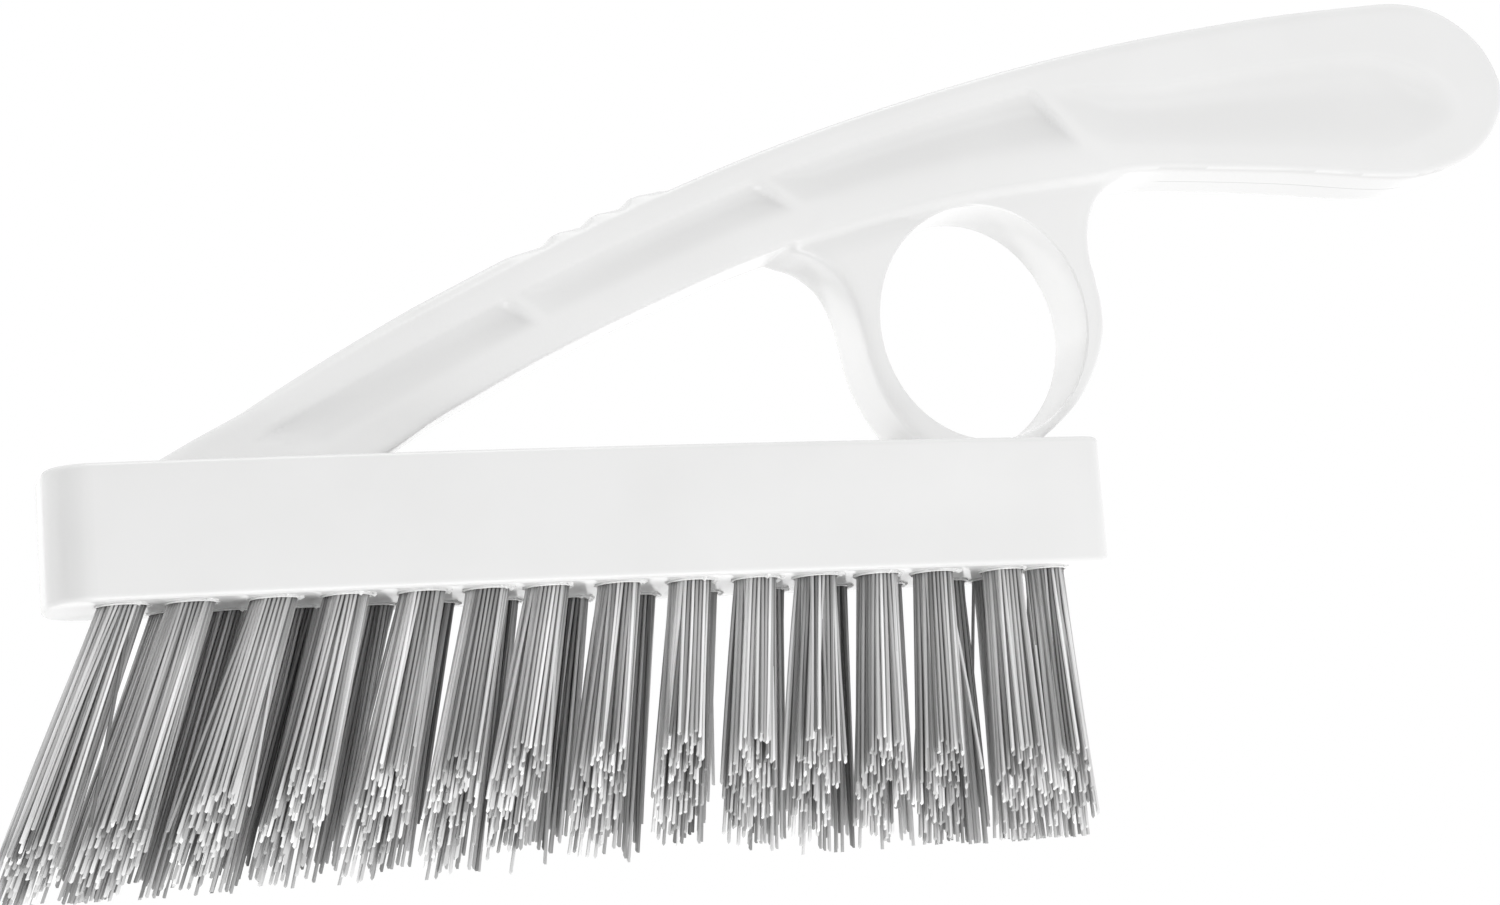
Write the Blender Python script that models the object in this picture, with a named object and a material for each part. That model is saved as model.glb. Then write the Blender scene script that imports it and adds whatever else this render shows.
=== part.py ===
"""Grout brush with a finger ring: a moulded stock, two staggered rows of bristle tufts, and the flat wire
anchor that holds each tuft in its drilled hole.

Metres, +Z up. X runs from the nose of the block to the end of the grip and Y runs across the brush. The
bristles are trimmed to a ridge along the middle, and the ridge stands on the plane Z = 0.
"""

import math

import bmesh
import bpy
from mathutils import Matrix, Vector

# Block: the moulded base, wider in the middle than at its ends
BLOCK_LENGTH = 0.1485
BLOCK_WIDTH = 0.0241
BLOCK_HEIGHT = 0.0182
BLOCK_BOW = 0.0024
NOSE_RADIUS = 0.0060
HEEL_RADIUS = 0.0028
BLOCK_EDGE = 0.0011
SIDE_STEPS = 12
CORNER_STEPS = 4

# Handle: a rounded slab that rises from its foot on the block to the grip
FOOT_FROM_NOSE = 0.0158
HANDLE_REACH = 0.2057
HANDLE_RISE = 0.0658
HANDLE_THICKNESS = 0.0144
HANDLE_EDGE = 0.0015
HANDLE_STEPS = 3
# Places on the handle's side outline, as shares of its reach and its rise; its foot ends inside the block
TOP_EDGE_SHARES = (
    (-0.023, -0.045), (0.090, 0.164), (0.193, 0.334), (0.299, 0.493), (0.416, 0.646),
    (0.537, 0.773), (0.662, 0.877), (0.790, 0.954), (0.889, 0.994),
)
GRIP_END_SHARES = ((0.926, 1.0), (0.958, 0.974), (0.987, 0.899), (1.0, 0.790), (0.988, 0.694), (0.965, 0.630))
LOW_EDGE_SHARES = (
    (0.930, 0.593), (0.895, 0.585), (0.825, 0.598), (0.746, 0.604), (0.699, 0.601), (0.629, 0.575),
    (0.552, 0.538), (0.477, 0.480), (0.403, 0.405), (0.330, 0.311), (0.258, 0.209), (0.188, 0.095),
    (0.103, -0.045),
)

# Crown: the thumb rest along the top of the handle, with raked teeth at its upper end
CROWN_HEIGHT = 0.0014
CROWN_START_HEIGHT = 0.0004
CROWN_INSET = 0.0009
CROWN_EDGE = 0.0005
CROWN_DEPTH = 0.0020
TOOTH_LOW_HEIGHT = 0.0004
TOOTH_COUNT = 4
CROWN_POINTS = 10
# Where the crown starts, is at its full height, has its first tooth and ends, as shares of the reach
CROWN_START_SHARE = 0.030
CROWN_FULL_SHARE = 0.170
TEETH_START_SHARE = 0.235
CROWN_END_SHARE = 0.346
TOOTH_RISER_SHARE = 0.12

# Finger scoops: hollows along both sides of the handle, each a ramp that ends in a step at a slanted rib
SCOOP_START_DEPTH = 0.0003
SCOOP_END_DEPTH = 0.0014
SCOOP_SIDE_SLOPE = 0.0022
SCOOP_END_SLOPE = 0.0008
SCOOP_RIM = 0.0040
GRIP_RIM_TOP = 0.0078
GRIP_RIM_LOW = 0.0032
SCOOP_CORNER = 0.0022
SCOOP_CORNER_STEPS = 3
SCOOP_POINTS = 6
# A scoop's section, from outside the face to its floor, as shares of its slope's width and of its depth
SCOOP_SECTION_SHARES = ((-0.35, -0.60), (0.35, 0.60), (1.0, 1.0))
# Each scoop's ends on its upper and lower rims, as shares of the reach: upper start, upper end, lower start, lower end
SCOOP_SHARES = (
    (0.062, 0.220, 0.100, 0.245),
    (0.236, 0.402, 0.262, 0.434),
    (0.418, 0.604, 0.452, 0.650),
    (0.630, 0.918, 0.680, 0.912),
)
# Where the rims change from the handle's to the grip's, as shares of the reach
GRIP_START_SHARE = 0.62
GRIP_FULL_SHARE = 0.72

# Finger ring: an upright oval loop between the block and the handle
RING_FROM_HEEL = 0.0148
RING_HOLE_WIDTH = 0.0310
RING_WALL = 0.0030
RING_THICKNESS = 0.0090
RING_EDGE = 0.0009
RING_FLOOR = 0.0004
RING_CEILING = 0.0015
RING_STEPS = 2
HOLE_POINTS = 36
# The ring's outer outline with its necks, as shares of its outer half width and half height
RING_OUTLINE_SHARES = (
    (0.165, -0.990), (0.409, -0.834), (0.584, -0.709), (0.764, -0.543), (0.920, -0.296), (0.993, -0.072),
    (0.998, 0.108), (0.968, 0.309), (0.934, 0.489), (0.944, 0.668), (1.002, 0.839), (1.129, 0.978),
    (1.309, 1.076), (1.479, 1.229), (0.798, 1.274), (-0.029, 1.161), (-0.905, 0.937), (-1.732, 0.668),
    (-1.538, 0.538), (-1.343, 0.475), (-1.168, 0.341), (-1.071, 0.152), (-1.022, -0.049), (-0.983, -0.274),
    (-0.895, -0.498), (-0.759, -0.709), (-0.637, -0.843), (-0.467, -0.990),
)

# Tufts: each is set in a blind hole drilled on its own slant, so that the rows fan out
HOLE_RADIUS = 0.0030
HOLE_WALL = 0.00336
FIRST_TUFT_FROM_NOSE = 0.01063
LAST_TUFT_FROM_HEEL = 0.0060
BACK_ROW_LAG_SHARE = 0.62
ROW_OUTSET = 0.0008
ROW_BOW = 0.0030
HOLE_DEPTH = 0.0110
HOLE_SIDES = 14
NOSE_LEAN = math.radians(24.0)
HEEL_LEAN = math.radians(-2.5)
# How far each tuft was set from its even place, as shares of the pitch, used again from the start on a longer row
FRONT_DRIFT_SHARES = (
    -0.10, -0.14, 0.01, 0.03, 0.12, 0.06, -0.05, 0.02, 0.09, 0.10, 0.05, 0.02, -0.07, 0.07, -0.23,
)
BACK_DRIFT_SHARES = (
    0.13, -0.06, -0.01, 0.03, -0.06, -0.09, -0.01, 0.03, -0.01, 0.05, 0.05, -0.08, -0.07, -0.31,
)

# Filaments: those of a tuft are drawn as a few thicker strands that spread from its bound root
BRISTLE_TRIM = 0.0380
STRAND_RADIUS = 0.00042
STRAND_SIDES = 3
STRAND_ROOT_SINK = 0.0010
ROOT_PROUD = 0.0004
SPREAD_ALONG = 0.0043
SPREAD_ACROSS = 0.0049
# Strands in each ring of a tuft, and each ring's radius as a share of the outermost
STRANDS_PER_RING = (1, 4, 9)
STRAND_RING_SHARES = (0.0, 0.5, 1.0)
# The trim: both rows are cut to a ridge with a flat top, so that the tips fit a joint between tiles
RIDGE_WIDTH = 0.0040
TRIM_ANGLE = math.radians(63.0)
# The nose is trimmed flatter, and the cut steepens to the full angle over this length
NOSE_TRIM_ANGLE = math.radians(45.0)
NOSE_TRIM_LENGTH = 0.0350
TRIM_SEARCH_STEPS = 30

# Anchors: a flat piece of wire driven through the fold of each tuft
ANCHOR_THICKNESS = 0.0005
ANCHOR_HEIGHT = 0.0020
ANCHOR_FROM_TOP = 0.0016
ANCHOR_EDGE = 0.0001
ANCHOR_EDGE_SHARE = 0.5

GAP = 0.0003
OVERRUN = 0.0020
WELD = 0.0000005
EDGE_STEPS = 1
SMOOTH_ANGLE = math.radians(35.0)

BLOCK_TOP_Z = BRISTLE_TRIM + BLOCK_HEIGHT
TUFT_PITCH = 2 * HOLE_RADIUS + HOLE_WALL
RING_FROM_NOSE = BLOCK_LENGTH - RING_FROM_HEEL
ROOT_RADIUS = HOLE_RADIUS - GAP

for old_object in list(bpy.data.objects):
    bpy.data.objects.remove(old_object)

brush = bpy.data.collections.new("grout_brush")
cutters = bpy.data.collections.new("cutters")
bpy.context.scene.collection.children.link(brush)
bpy.context.scene.collection.children.link(cutters)


def plastic(name, color, roughness, metallic):
    """A plain finish for one kind of piece."""
    material = bpy.data.materials.new(name)
    material.use_nodes = True
    shader = material.node_tree.nodes["Principled BSDF"]
    shader.inputs["Base Color"].default_value = (*color, 1.0)
    shader.inputs["Roughness"].default_value = roughness
    shader.inputs["Metallic"].default_value = metallic
    return material


def smooth_path(points, steps, closed):
    """Points on one smooth curve through the given points."""
    count = len(points)
    spans = count if closed else count - 1
    path = []
    for index in range(spans):
        if closed:
            near = [points[(index + k) % count] for k in (-1, 0, 1, 2)]
        else:
            near = [points[min(max(index + k, 0), count - 1)] for k in (-1, 0, 1, 2)]
        before, start, end, after = (Vector(point) for point in near)
        for step in range(steps):
            t = step / steps
            slope_in = (end - before) / 2
            slope_out = (after - start) / 2
            path.append(
                start * (2 * t**3 - 3 * t**2 + 1)
                + slope_in * (t**3 - 2 * t**2 + t)
                + end * (3 * t**2 - 2 * t**3)
                + slope_out * (t**3 - t**2)
            )
    if not closed:
        path.append(Vector(points[-1]))
    return path


def height_at(path, x):
    """The height of a left-to-right path above the given place along X."""
    for start, end in zip(path, path[1:]):
        if start.x <= x <= end.x:
            return start.y + (end.y - start.y) * (x - start.x) / (end.x - start.x)
    return path[0].y if x < path[0].x else path[-1].y


def mesh_of(tool):
    """The evaluated mesh of an object, with loose caps welded."""
    mesh = bpy.data.meshes.new_from_object(tool.evaluated_get(bpy.context.evaluated_depsgraph_get()))
    bm = bmesh.new()
    bm.from_mesh(mesh)
    bmesh.ops.remove_doubles(bm, verts=bm.verts, dist=WELD)
    bmesh.ops.recalc_face_normals(bm, faces=bm.faces)
    bm.to_mesh(mesh)
    bm.free()
    return mesh


def slab(name, loops, thickness, edge, upright):
    """A flat outline made thick, with rounded edges, lying in XY or standing in XZ."""
    curve = bpy.data.curves.new(name, "CURVE")
    curve.dimensions = "2D"
    curve.fill_mode = "BOTH"
    curve.extrude = thickness / 2 - edge
    curve.bevel_depth = edge
    curve.bevel_resolution = EDGE_STEPS
    curve.offset = -edge
    for loop in loops:
        spline = curve.splines.new("POLY")
        spline.points.add(len(loop) - 1)
        for point, place in zip(spline.points, loop):
            point.co = (place[0], place[1], 0, 1)
        spline.use_cyclic_u = True
    outline = bpy.data.objects.new(name + "_outline", curve)
    bpy.context.scene.collection.objects.link(outline)
    solid = bpy.data.objects.new(name, mesh_of(outline))
    if upright:
        solid.data.transform(Matrix.Rotation(math.pi / 2, 4, "X"))
    bpy.data.objects.remove(outline)
    cutters.objects.link(solid)
    return solid


def combine(target, tool, operation):
    """Fuse a tool with a solid, or cut it away, and use the tool up."""
    boolean = target.modifiers.new(tool.name, "BOOLEAN")
    boolean.solver = "EXACT"
    boolean.operation = operation
    boolean.object = tool
    result = mesh_of(target)
    target.modifiers.remove(boolean)
    target.data = result
    bpy.data.objects.remove(tool)


def solid_from(name, bm):
    """A working solid from a bmesh, with its faces turned outwards."""
    bmesh.ops.recalc_face_normals(bm, faces=bm.faces)
    mesh = bpy.data.meshes.new(name)
    bm.to_mesh(mesh)
    bm.free()
    solid = bpy.data.objects.new(name, mesh)
    cutters.objects.link(solid)
    return solid


def finish(solid, name, material):
    """Name a finished piece, give it its material and put it in the brush."""
    solid.name = name
    solid.data.name = name
    solid.data.materials.clear()
    solid.data.materials.append(material)
    solid.data.shade_smooth()
    solid.data.set_sharp_from_angle(angle=SMOOTH_ANGLE)
    cutters.objects.unlink(solid)
    brush.objects.link(solid)


def half_width(x, width, bow):
    """Half of a bowed width at a place along the block."""
    off_middle = 2 * x / BLOCK_LENGTH - 1
    return width / 2 - bow * off_middle**2


def block_outline():
    """The block seen from above: two bowed sides and four rounded corners."""
    front = []
    front_end = half_width(NOSE_RADIUS, BLOCK_WIDTH, BLOCK_BOW)
    heel_end = half_width(BLOCK_LENGTH - HEEL_RADIUS, BLOCK_WIDTH, BLOCK_BOW)
    for step in range(CORNER_STEPS):
        angle = math.pi / 2 * step / CORNER_STEPS
        x = NOSE_RADIUS * (1 - math.cos(angle))
        front.append((x, -(front_end - NOSE_RADIUS * (1 - math.sin(angle)))))
    for step in range(SIDE_STEPS + 1):
        x = NOSE_RADIUS + (BLOCK_LENGTH - NOSE_RADIUS - HEEL_RADIUS) * step / SIDE_STEPS
        front.append((x, -half_width(x, BLOCK_WIDTH, BLOCK_BOW)))
    for step in range(1, CORNER_STEPS + 1):
        angle = math.pi / 2 * step / CORNER_STEPS
        x = BLOCK_LENGTH - HEEL_RADIUS * (1 - math.sin(angle))
        front.append((x, -(heel_end - HEEL_RADIUS * (1 - math.cos(angle)))))
    return front + [(x, -y) for x, y in reversed(front)]


def on_handle(shares):
    """Places on the handle's side view from shares of its reach and rise."""
    return [
        Vector((FOOT_FROM_NOSE + HANDLE_REACH * along, BLOCK_TOP_Z + HANDLE_RISE * up)) for along, up in shares
    ]


top_edge = smooth_path(on_handle(TOP_EDGE_SHARES + GRIP_END_SHARES[:1]), HANDLE_STEPS, False)
low_edge = smooth_path(on_handle(tuple(reversed(LOW_EDGE_SHARES))), HANDLE_STEPS, False)


def handle_outline():
    """The handle seen from its side, from its foot over the top to the grip and back along its lower edge."""
    return smooth_path(on_handle(TOP_EDGE_SHARES + GRIP_END_SHARES + LOW_EDGE_SHARES), HANDLE_STEPS, False)


def crown_height(share):
    """How far the crown stands above the handle's top edge at a share of the reach."""
    if share < CROWN_FULL_SHARE:
        rise = (share - CROWN_START_SHARE) / (CROWN_FULL_SHARE - CROWN_START_SHARE)
        return CROWN_START_HEIGHT + (CROWN_HEIGHT - CROWN_START_HEIGHT) * rise
    return CROWN_HEIGHT


def crown_outline():
    """The crown's side view: a smooth rise, then teeth that fall away towards the grip."""
    tooth_share = (CROWN_END_SHARE - TEETH_START_SHARE) / TOOTH_COUNT
    profile = []
    for step in range(CROWN_POINTS + 1):
        share = CROWN_START_SHARE + (TEETH_START_SHARE - CROWN_START_SHARE) * step / CROWN_POINTS
        profile.append((share, crown_height(share)))
    for tooth in range(TOOTH_COUNT):
        start = TEETH_START_SHARE + tooth_share * tooth
        if tooth:
            profile.append((start + tooth_share * TOOTH_RISER_SHARE, CROWN_HEIGHT))
        profile.append((start + tooth_share, TOOTH_LOW_HEIGHT))
    upper = []
    lower = []
    for share, height in profile:
        x = FOOT_FROM_NOSE + HANDLE_REACH * share
        upper.append((x, height_at(top_edge, x) + height))
        lower.append((x, height_at(top_edge, x) - CROWN_DEPTH))
    return upper + lower[::-1]


def rim_at(share, handle_rim, grip_rim):
    """A scoop's rim, which changes from the handle's width to the grip's."""
    change = (share - GRIP_START_SHARE) / (GRIP_FULL_SHARE - GRIP_START_SHARE)
    return handle_rim + (grip_rim - handle_rim) * min(max(change, 0), 1)


def eased(loop, corners):
    """A loop with the corners of the given numbers rounded."""
    path = []
    for index, corner in enumerate(loop):
        if index not in corners:
            path.append(corner)
            continue
        sides = [loop[index - 1] - corner, loop[(index + 1) % len(loop)] - corner]
        start, end = (corner + side.normalized() * min(SCOOP_CORNER, side.length / 2) for side in sides)
        for step in range(SCOOP_CORNER_STEPS + 1):
            t = step / SCOOP_CORNER_STEPS
            path.append(start * (1 - t) ** 2 + corner * 2 * t * (1 - t) + end * t**2)
    return path


def scoop_loop(shares, slope_share):
    """One loop of a scoop in side view, set in from the handle's edges and from the scoop's ends."""
    upper_start, upper_end, lower_start, lower_end = shares
    side_inset = SCOOP_SIDE_SLOPE * slope_share
    end_inset = SCOOP_END_SLOPE * slope_share
    loop = []
    for step in range(SCOOP_POINTS):
        start = FOOT_FROM_NOSE + HANDLE_REACH * upper_start + end_inset
        end = FOOT_FROM_NOSE + HANDLE_REACH * upper_end - end_inset
        x = start + (end - start) * step / (SCOOP_POINTS - 1)
        share = (x - FOOT_FROM_NOSE) / HANDLE_REACH
        loop.append(Vector((x, height_at(top_edge, x) - rim_at(share, SCOOP_RIM, GRIP_RIM_TOP) - side_inset)))
    for step in range(SCOOP_POINTS):
        start = FOOT_FROM_NOSE + HANDLE_REACH * lower_end - end_inset
        end = FOOT_FROM_NOSE + HANDLE_REACH * lower_start + end_inset
        x = start + (end - start) * step / (SCOOP_POINTS - 1)
        share = (x - FOOT_FROM_NOSE) / HANDLE_REACH
        low_z = max(height_at(low_edge, x) + rim_at(share, SCOOP_RIM, GRIP_RIM_LOW), BLOCK_TOP_Z + BLOCK_EDGE)
        loop.append(Vector((x, low_z + side_inset)))
    return eased(loop, (0, SCOOP_POINTS - 1, SCOOP_POINTS, 2 * SCOOP_POINTS - 1))


def scoop_cutter(shares, side):
    """The hollow of one scoop: loops lofted from outside the handle's face down to the sloping floor."""
    start = FOOT_FROM_NOSE + HANDLE_REACH * shares[0]
    length = HANDLE_REACH * (shares[3] - shares[0])
    bm = bmesh.new()
    rings = []
    for slope_share, depth_share in SCOOP_SECTION_SHARES:
        ring = []
        for place in scoop_loop(shares, slope_share):
            depth = SCOOP_START_DEPTH + (SCOOP_END_DEPTH - SCOOP_START_DEPTH) * (place.x - start) / length
            ring.append(bm.verts.new((place.x, side * (HANDLE_THICKNESS / 2 - depth * depth_share), place.y)))
        bm.faces.new(ring)
        rings.append(ring)
    for outer, inner in zip(rings, rings[1:]):
        for index, corner in enumerate(outer):
            following = (index + 1) % len(outer)
            bm.faces.new((corner, outer[following], inner[following], inner[index]))
    for ring in rings[1:-1]:
        bmesh.ops.delete(bm, geom=[bm.faces.get(ring)], context="FACES_ONLY")
    return solid_from("scoop", bm)


def ring_loops():
    """The finger ring's side view: its outer outline with the necks, and its oval hole."""
    floor_z = BLOCK_TOP_Z + RING_FLOOR
    ceiling_z = height_at(low_edge, RING_FROM_NOSE) - RING_CEILING
    centre = Vector((RING_FROM_NOSE, (floor_z + ceiling_z) / 2))
    half = Vector((RING_HOLE_WIDTH / 2, (ceiling_z - floor_z) / 2))
    outer = [
        centre + Vector((across * (half.x + RING_WALL), up * (half.y + RING_WALL)))
        for across, up in RING_OUTLINE_SHARES
    ]
    hole = []
    for step in range(HOLE_POINTS):
        angle = 2 * math.pi * step / HOLE_POINTS
        hole.append(centre + Vector((half.x * math.cos(angle), half.y * math.sin(angle))))
    return [smooth_path(outer, RING_STEPS, True), hole]


class Tuft:
    """Where one tuft comes out of the block, and how it leans."""

    def __init__(self, name, number, drift_shares, lag, side):
        self.name = name
        drift = drift_shares[number % len(drift_shares)]
        self.x = FIRST_TUFT_FROM_NOSE + TUFT_PITCH * (number + lag + drift)
        self.y = side * (half_width(self.x, BLOCK_WIDTH / 2, ROW_BOW) + ROW_OUTSET)
        self.lean = lean_at(self.x)
        self.trim = NOSE_TRIM_ANGLE + (TRIM_ANGLE - NOSE_TRIM_ANGLE) * min(self.x / NOSE_TRIM_LENGTH, 1)
        self.place = Matrix.Translation((self.x, self.y, BRISTLE_TRIM)) @ Matrix.Rotation(self.lean, 4, "Y")
        self.length = BRISTLE_TRIM / math.cos(self.lean)


def lean_at(x):
    """The slant of the bristles, which fans from the nose to the heel."""
    share = x / BLOCK_LENGTH
    return NOSE_LEAN + (HEEL_LEAN - NOSE_LEAN) * share


def trimmed_end(root, direction, trim):
    """Where a strand's edge meets the trim, by halving the stretch that holds the meeting point."""
    near = 0
    far = 2 * BRISTLE_TRIM
    for _ in range(TRIM_SEARCH_STEPS):
        middle = (near + far) / 2
        place = root + direction * middle
        if place.z > max(abs(place.y) - RIDGE_WIDTH / 2, 0) * math.tan(trim):
            near = middle
        else:
            far = middle
    return root + direction * near


def cylinder(bm, radius, low, high, sides, place):
    """A straight round stretch along the local Z."""
    bmesh.ops.create_cone(
        bm,
        cap_ends=True,
        segments=sides,
        radius1=radius,
        radius2=radius,
        depth=high - low,
        matrix=place @ Matrix.Translation((0, 0, (low + high) / 2)),
    )


def box(bm, size, place):
    """A block of the given size about the local origin."""
    corners = bmesh.ops.create_cube(bm, size=1)["verts"]
    bmesh.ops.transform(bm, matrix=place @ Matrix.Diagonal((*size, 1)), verts=corners)
    return corners


def strand_roots():
    """Places of a tuft's strands across its root, in rings."""
    outermost = ROOT_RADIUS - STRAND_RADIUS
    for count, share in zip(STRANDS_PER_RING, STRAND_RING_SHARES):
        for index in range(count):
            angle = 2 * math.pi * index / count + math.pi * share
            yield Vector((math.cos(angle), math.sin(angle), 0)) * outermost * share, share, angle


def spread_of(tuft, row):
    """How far a tuft may spread along the row and across it before it meets a neighbour's strands."""
    along = SPREAD_ALONG
    for other in row:
        if other is not tuft:
            drift = BRISTLE_TRIM * (math.tan(other.lean) - math.tan(tuft.lean))
            apart = abs(other.x - tuft.x - drift)
            along = min(along, apart / 2 * math.cos(tuft.lean) - STRAND_RADIUS - GAP)
    across = min(SPREAD_ACROSS, abs(tuft.y) - STRAND_RADIUS - GAP)
    return along, across


def strands(tuft, row):
    """All strands of a tuft as closed prisms, from inside its root to the trim."""
    along, across = spread_of(tuft, row)
    outermost = ROOT_RADIUS - STRAND_RADIUS
    bm = bmesh.new()
    for offset, share, turn in strand_roots():
        widen = Vector((offset.x * (along / outermost - 1), offset.y * (across / outermost - 1), 0))
        direction = (tuft.place.to_3x3() @ (widen - Vector((0, 0, tuft.length)))).normalized()
        prism = bmesh.ops.create_cone(
            bm,
            cap_ends=True,
            segments=STRAND_SIDES,
            radius1=STRAND_RADIUS,
            radius2=STRAND_RADIUS,
            depth=STRAND_ROOT_SINK,
            matrix=Matrix.Translation(offset) @ Matrix.Rotation(turn, 4, "Z"),
        )["verts"]
        for corner in prism:
            at_root = tuft.place @ Vector((corner.co.x, corner.co.y, STRAND_ROOT_SINK))
            corner.co = at_root if corner.co.z > 0 else trimmed_end(at_root, direction, tuft.trim)
    return solid_from(tuft.name + "_strands", bm)


def anchor_place(tuft):
    """The middle of a tuft's anchor, near the top of its hole, turned across the row."""
    return tuft.place @ Matrix.Translation((0, 0, HOLE_DEPTH - GAP - ANCHOR_FROM_TOP - ANCHOR_HEIGHT / 2))


def make_tuft(tuft, row, material):
    """The bound root with the anchor's window through it, fused with its strands."""
    foot = -ROOT_PROUD - ROOT_RADIUS * math.tan(abs(tuft.lean))
    bm = bmesh.new()
    cylinder(bm, ROOT_RADIUS, foot, HOLE_DEPTH - GAP, HOLE_SIDES, tuft.place)
    root = solid_from(tuft.name, bm)
    bm = bmesh.new()
    window = (ANCHOR_THICKNESS + 2 * GAP, 2 * HOLE_RADIUS + OVERRUN, ANCHOR_HEIGHT + 2 * GAP)
    box(bm, window, anchor_place(tuft))
    combine(root, solid_from("window", bm), "DIFFERENCE")
    combine(root, strands(tuft, row), "UNION")
    finish(root, tuft.name, material)


def make_anchor(tuft, material):
    """The flat wire anchor, as long as the hole is wide but for its clearance."""
    bm = bmesh.new()
    box(bm, (ANCHOR_THICKNESS, 2 * ROOT_RADIUS, ANCHOR_HEIGHT), anchor_place(tuft))
    bmesh.ops.bevel(
        bm,
        geom=bm.edges,
        offset=ANCHOR_EDGE,
        segments=EDGE_STEPS,
        profile=ANCHOR_EDGE_SHARE,
        affect="EDGES",
        material=-1,
    )
    finish(solid_from(tuft.name.replace("tuft", "anchor"), bm), tuft.name.replace("tuft", "anchor"), material)


def make_stock(tufts, material):
    """The block, handle, crown and ring as one moulding, with its scoops and drilled holes."""
    stock = slab("block", [block_outline()], BLOCK_HEIGHT, BLOCK_EDGE, False)
    stock.data.transform(Matrix.Translation((0, 0, BRISTLE_TRIM + BLOCK_HEIGHT / 2)))
    combine(stock, slab("handle", [handle_outline()], HANDLE_THICKNESS, HANDLE_EDGE, True), "UNION")
    crown_thickness = HANDLE_THICKNESS - 2 * CROWN_INSET
    combine(stock, slab("crown", [crown_outline()], crown_thickness, CROWN_EDGE, True), "UNION")
    combine(stock, slab("ring", ring_loops(), RING_THICKNESS, RING_EDGE, True), "UNION")
    for side in (-1, 1):
        for shares in SCOOP_SHARES:
            combine(stock, scoop_cutter(shares, side), "DIFFERENCE")
    bm = bmesh.new()
    for tuft in tufts:
        cylinder(bm, HOLE_RADIUS, -OVERRUN, HOLE_DEPTH, HOLE_SIDES, tuft.place)
    combine(stock, solid_from("holes", bm), "DIFFERENCE")
    finish(stock, "stock", material)


def tuft_row(name, drift_shares, lag, side):
    """One row of tufts, as many as fit between the ends of the block."""
    room = BLOCK_LENGTH - FIRST_TUFT_FROM_NOSE - LAST_TUFT_FROM_HEEL - TUFT_PITCH * lag
    count = int(room / TUFT_PITCH) + 1
    return [Tuft(f"tuft_{name}_{number + 1:02d}", number, drift_shares, lag, side) for number in range(count)]


front_row = tuft_row("front", FRONT_DRIFT_SHARES, 0, -1)
back_row = tuft_row("back", BACK_DRIFT_SHARES, BACK_ROW_LAG_SHARE, 1)
stock_plastic = plastic("stock_plastic", (0.84, 0.84, 0.84), 0.30, 0.0)
filament_plastic = plastic("filament_plastic", (0.42, 0.42, 0.42), 0.45, 0.0)
anchor_steel = plastic("anchor_steel", (0.62, 0.60, 0.56), 0.35, 1.0)

make_stock(front_row + back_row, stock_plastic)
for row_of_tufts in (front_row, back_row):
    for one_tuft in row_of_tufts:
        make_tuft(one_tuft, row_of_tufts, filament_plastic)
        make_anchor(one_tuft, anchor_steel)

# The origin is under the middle of the whole brush, so every piece moves back by the same length
ends = [vertex.co.x for piece in brush.objects for vertex in piece.data.vertices]
for piece in brush.objects:
    piece.location.x = -(min(ends) + max(ends)) / 2
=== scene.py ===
"""Grout brush with a finger ring: the looks of the moulded stock and of its two rows of bristle tufts.

Metres, +Z up, in the frame of the CAD model: X runs from the nose of the block to the end of the grip, Y runs
across the brush, and the ridge of the trimmed bristles stands on Z = 0.
"""

import math
import random

import bmesh
import bpy
from mathutils import Matrix, Vector
from mathutils.geometry import interpolate_bezier


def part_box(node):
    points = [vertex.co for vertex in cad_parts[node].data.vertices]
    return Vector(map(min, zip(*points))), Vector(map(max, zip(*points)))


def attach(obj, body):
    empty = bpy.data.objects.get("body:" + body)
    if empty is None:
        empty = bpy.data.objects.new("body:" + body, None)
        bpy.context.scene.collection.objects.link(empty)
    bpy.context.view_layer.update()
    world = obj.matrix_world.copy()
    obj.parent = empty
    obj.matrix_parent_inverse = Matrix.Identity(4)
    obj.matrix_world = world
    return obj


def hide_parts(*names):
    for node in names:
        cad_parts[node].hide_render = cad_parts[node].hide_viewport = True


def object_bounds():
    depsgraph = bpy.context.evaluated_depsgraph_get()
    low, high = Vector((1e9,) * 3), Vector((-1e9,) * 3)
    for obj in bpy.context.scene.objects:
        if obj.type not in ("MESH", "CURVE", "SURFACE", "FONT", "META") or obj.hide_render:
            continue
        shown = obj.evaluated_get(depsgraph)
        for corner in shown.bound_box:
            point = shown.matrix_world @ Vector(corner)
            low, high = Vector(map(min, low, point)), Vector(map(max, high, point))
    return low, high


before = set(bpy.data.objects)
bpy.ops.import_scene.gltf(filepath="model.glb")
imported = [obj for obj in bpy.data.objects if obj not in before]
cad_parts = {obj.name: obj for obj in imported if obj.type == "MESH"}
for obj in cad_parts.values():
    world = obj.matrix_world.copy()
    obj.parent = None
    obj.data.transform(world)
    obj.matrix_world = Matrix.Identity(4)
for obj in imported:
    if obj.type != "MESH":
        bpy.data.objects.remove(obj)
cad_box = [list(corner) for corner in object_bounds()]


# The block is the straight bar that the bristles are set in, one white moulding with the handle and the ring.
# It is bowed in plan, with a well rounded nose, a tighter heel and softened edges all round.
NOSE_X, UNDERSIDE_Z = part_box("stock")[0].x, 0.0380
BLOCK_LENGTH = 0.1485
BLOCK_WIDTH = 0.02409
BLOCK_HEIGHT = 0.0182
BLOCK_BOW = 0.0024
BLOCK_BOW_STEPS = 24
NOSE_RADIUS = 0.0060
HEEL_RADIUS = 0.0028
BLOCK_EDGE = 0.0009
CORNER_STEPS, EDGE_STEPS = 8, 4
SAME_PLACE = 1e-6
SHARP_ANGLE = math.radians(60)
BLOCK_TOP_Z = UNDERSIDE_Z + BLOCK_HEIGHT


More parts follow.
